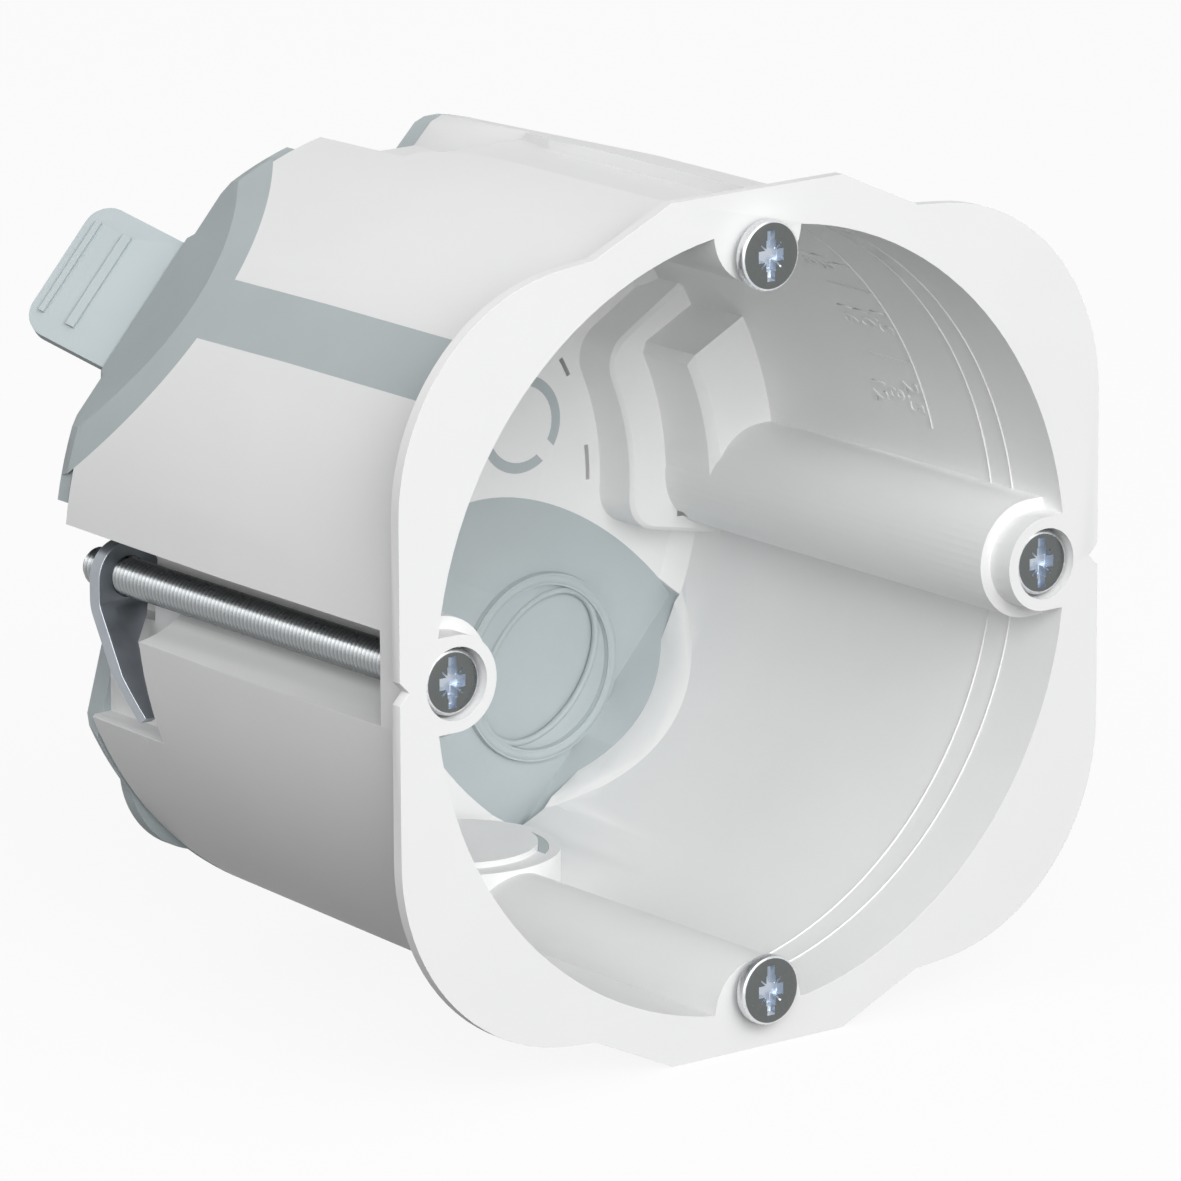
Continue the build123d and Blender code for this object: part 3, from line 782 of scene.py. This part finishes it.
def screw(node, size):
    """A screw in place of a solid: turned head and core, cut drive, and a thread."""
    low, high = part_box(node)
    centre = ((low[0] + high[0]) / 2, (low[2] + high[2]) / 2)
    face, tip = low[1], high[1]
    work = bpy.data.objects.new("work", head_and_core(size, face, tip, centre))
    cutter = bpy.data.objects.new("cutter", drive_cutter(face, centre, size.drive_depth))
    for made in (work, cutter):
        bpy.context.collection.objects.link(made)
    cut = work.modifiers.new("drive", "BOOLEAN")
    cut.object = cutter
    cut.solver = "EXACT"
    cut.use_self = True
    edge = work.modifiers.new("round", "BEVEL")
    edge.width = cut_edge
    edge.segments = 1
    edge.limit_method = "ANGLE"
    edge.angle_limit = radians(cut_edge_angle)
    turning = work.modifiers.new("thread", "NODES")
    turning.node_group = thread
    start = face + size.head_thickness + thread_behind_head
    given = {
        "Crest Radius": size.shank_radius,
        "Pitch": thread_pitch,
        "Turns": (tip - thread_before_tip - start) / thread_pitch,
        "Place": (centre[0], start, centre[1]),
    }
    for socket in thread.interface.items_tree:
        if socket.name in given:
            turning[socket.identifier] = given[socket.name]
    mesh = with_painted_light(smoothed(flat_mesh(work), screw_crease_angle), size, face, centre)
    bpy.data.objects.remove(work)
    bpy.data.objects.remove(cutter)
    link_piece("threaded_" + node, mesh, screw_zinc, node, [node])


for side in ("left", "right"):
    screw("clamp_screw_" + side, clamp_screw_size)
for side in ("top", "bottom"):
    screw("device_screw_" + side, device_screw_size)

# %% [markdown]
# ## Figures and lines inside the mouth
#
# A line and a small table of plain figures stand in low relief on the inside of the wall, upper
# right, and two fine lines run across the right half of the wall near the mouth. A figure is a
# text object made into a mesh, and a line is a bar cut into short pieces. Each of their points
# is then carried onto the round wall: across the text goes round the axis, and up the text goes
# towards the mouth. Wrapping the points keeps the relief in the mesh, which a bump would not.

# %% Flat figures and bars, carried onto the wall
relief = 0.12 * mm
curve_steps = 3  # of a figure's round strokes
bar_steps = 96


def figure_mesh(text, size):
    """A text as a flat mesh with thickness, centred on its width."""
    curve = bpy.data.curves.new("figure", "FONT")
    curve.body = text
    curve.size = size
    curve.extrude = relief
    curve.align_x = "CENTER"
    curve.resolution_u = curve_steps
    holder = bpy.data.objects.new("figure", curve)
    bpy.context.collection.objects.link(holder)
    mesh = flat_mesh(holder)
    bpy.data.objects.remove(holder)
    return mesh


def bar_mesh(length, width):
    """A flat bar cut into short pieces, so that it can follow the round wall."""
    skin = bmesh.new()
    bmesh.ops.create_grid(skin, x_segments=bar_steps, y_segments=1, size=0.5)
    bmesh.ops.solidify(skin, geom=skin.faces[:], thickness=1.0)
    lowest = min(corner.co.z for corner in skin.verts)
    for corner in skin.verts:
        corner.co.x *= length
        corner.co.y *= width
        corner.co.z = relief if corner.co.z > lowest + 0.5 else -relief
    return mesh_from(skin, "bar")


def on_wall(mesh, angle, depth, upright=True):
    """Carries a flat mesh onto the inside of the wall at an angle and a depth."""
    for corner in mesh.vertices:
        across, up, out = corner.co
        if not upright:
            across, up = up, across
        turn = radians(angle) - across / inner_radius
        radius = inner_radius - out
        corner.co = (radius * cos(turn), depth - up, radius * sin(turn))
    return mesh


# %% [markdown]
# ## The table in relief
#
# The table has three columns of three figures behind its line, with a short stroke between
# each two columns. The figures are plain numbers. All of it is one mesh with the two fine
# lines, because on the real box it is part of one moulding.

# %% Table and lines
line_depth = 14.4 * mm
figure_size = 2.6 * mm
first_row = 2.3 * mm  # behind the line
row_pitch = 2.2 * mm
# each bar: length, width, angle on the wall in degrees, depth, and whether it runs round
relief_bars = (
    (24 * mm, 0.12 * mm, 36.5, line_depth, True),
    (6 * mm, 0.12 * mm, 40, line_depth + 3 * mm, False),
    (6 * mm, 0.12 * mm, 26, line_depth + 3 * mm, False),
    (92 * mm, 0.08 * mm, 0, 5.1 * mm, True),
    (92 * mm, 0.10 * mm, 0, 7.8 * mm, True),
)
# each column: its angle on the wall in degrees, and its figures from the line backwards
table = {
    46.0: ("1", "12", "18"),
    33.5: ("1.5", "10", "16"),
    19.5: ("2.5", "8", "12"),
}
skin = bmesh.new()
for length, width, angle, depth, upright in relief_bars:
    skin.from_mesh(on_wall(bar_mesh(length, width), angle, depth, upright))
for angle, figures in table.items():
    for row, figure in enumerate(figures):
        depth = line_depth + (first_row + row_pitch * row)
        skin.from_mesh(on_wall(figure_mesh(figure, figure_size), angle, depth))
link_piece("relief_figures", closed_mesh(skin, "relief"), plastic, "box", [])

# %% [markdown]
# ## Floor
#
# The box lies on a pale floor. The background is plain white, and comes from the colour that
# camera and mirror rays see, not from more light on the box. Other rays see a dark floor, so
# that it throws little light back up and the underside of the box stays in shade. A part of the
# true surface is mixed in, and that part shows the box's shadow.

# %% Floor
floor_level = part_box("box_body")[0][2]
floor_size = 3.0
floor_colour = (0.85, 0.85, 0.85, 1)
floor_bounce = (0.07, 0.07, 0.07, 1)  # what other rays see
white_share = 0.9  # of plain white in what the camera sees


def seen_directly(value):
    """1 for rays from the camera and for mirror and clear rays, 0 for light on things."""
    camera_ray = value.node("ShaderNodeLightPath", output="Is Camera Ray")
    mirror_ray = value.node("ShaderNodeLightPath", output="Is Glossy Ray")
    clear_ray = value.node("ShaderNodeLightPath", output="Is Transmission Ray")
    return value.math("MAXIMUM", value.math("MAXIMUM", camera_ray, mirror_ray), clear_ray)


def floor_finish():
    """Pale floor, seen nearly white with the box's shadow, that throws little light back up."""
    material = bpy.data.materials.new("pale floor")
    material.use_nodes = True
    tree = material.node_tree
    shader = tree.nodes["Principled BSDF"]
    shader.inputs["Base Color"].default_value = floor_colour
    shader.inputs["Roughness"].default_value = 0.9
    matt = Value(tree, shader.outputs[0])
    white = matt.node("ShaderNodeEmission", {}, {"Color": (1, 1, 1, 1), "Strength": 1.0})
    dull = matt.node("ShaderNodeBsdfDiffuse", {}, {"Color": floor_bounce})
    pale = matt.node("ShaderNodeMixShader", {}, {0: white_share, 1: matt, 2: white})
    both = matt.node("ShaderNodeMixShader", {}, {0: seen_directly(matt), 1: dull, 2: pale})
    tree.links.new(both.socket, tree.nodes["Material Output"].inputs["Surface"])
    return material


quarters = ((-1, -1), (1, -1), (1, 1), (-1, 1))
corners = [(x * floor_size, y * floor_size, floor_level) for x, y in quarters]
floor_data = bpy.data.meshes.new("floor")
floor_data.from_pydata(corners, [], [(0, 1, 2, 3)])
floor_data.materials.append(floor_finish())
floor = bpy.data.objects.new("floor", floor_data)
bpy.context.collection.objects.link(floor)
print("floor at", round(floor_level, 4))

# %% [markdown]
# ## Light from all round
#
# A studio's white walls light the box from everywhere. The world does that here, at less than
# half strength, while camera and mirror rays see it as plain white, so that the background and
# the gloss on metal stay bright.

# %% World
sky_light = 0.43
world = bpy.data.worlds.new("studio")
world.use_nodes = True
background = world.node_tree.nodes["Background"]
background.inputs["Color"].default_value = (1, 1, 1, 1)
sky = Value(world.node_tree, background.outputs[0])
strength = sky_light + seen_directly(sky) * (1.0 - sky_light)
world.node_tree.links.new(strength.socket, background.inputs["Strength"])
bpy.context.scene.world = world
print("light from all round:", sky_light)

# %% [markdown]
# ## Lamps
#
# Three large soft lamps give the box its form: a strong one from the front left, a weaker one
# from in front and above, and one from the left side. Area lamps are chosen because their
# large faces give the soft shadows of a studio.


# %% Lamps
def area_light(name, azimuth, elevation, distance, size, power):
    """A square soft light that looks at the box, from a direction given as the camera's is."""
    data = bpy.data.lights.new(name, "AREA")
    data.size = size
    data.energy = power
    light = bpy.data.objects.new(name, data)
    axes = camera_axes(radians(azimuth), radians(elevation), 0)
    turn = Matrix(axes).transposed().to_4x4()
    light.matrix_world = Matrix.Translation(axes[2] * distance) @ turn
    bpy.context.collection.objects.link(light)


area_light("key", azimuth=-25, elevation=22, distance=1.2, size=0.9, power=12.0)
area_light("top", azimuth=5, elevation=37, distance=1.2, size=0.8, power=4.1)
area_light("side", azimuth=-82, elevation=20, distance=1.4, size=1.0, power=3.4)
